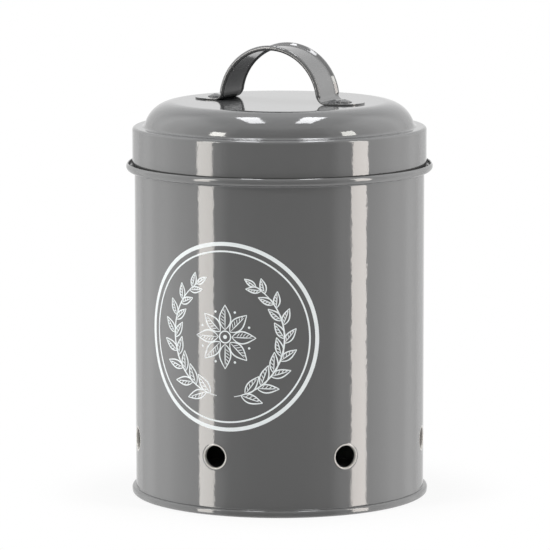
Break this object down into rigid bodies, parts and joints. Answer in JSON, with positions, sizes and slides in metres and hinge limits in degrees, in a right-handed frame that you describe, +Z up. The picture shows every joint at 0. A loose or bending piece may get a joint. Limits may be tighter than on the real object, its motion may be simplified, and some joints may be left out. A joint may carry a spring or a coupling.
{
  "type": "garlic keeper",
  "caption": "Round painted-steel garlic keeper: a ventilated canister with a flared rim and a lift-off domed lid with a riveted strap handle.",
  "frame": {"origin": "middle of the base, on the surface the keeper stands on", "axes": "+Z up along the canister's axis; -Y the front, through the middle vent; X along the span of the handle; the wall's seam is at +Y"},
  "size_m": [0.127, 0.127, 0.187],
  "materials": {
    "body_paint": "gloss",
    "lid_paint": "gloss",
    "badge_ink": "satin",
    "rivet_paint": "satin",
    "mandrel_steel": "satin"
  },
  "bodies": {
    "canister": {"body_shell": "body_paint", "base_pan": "body_paint"},
    "lid": {"lid_shell": "lid_paint", "lid_plug_ring": "lid_paint", "handle_strap": "lid_paint", "rivet_left": "rivet_paint", "rivet_right": "rivet_paint", "rivet_mandrel_left": "mandrel_steel", "rivet_mandrel_right": "mandrel_steel"}
  },
  "joints": [
    {"name": "lid_lift", "type": "slide", "parent": "canister", "child": "lid", "axis": [0, 0, 1], "range_m": [0, 0.08]}
  ]
}
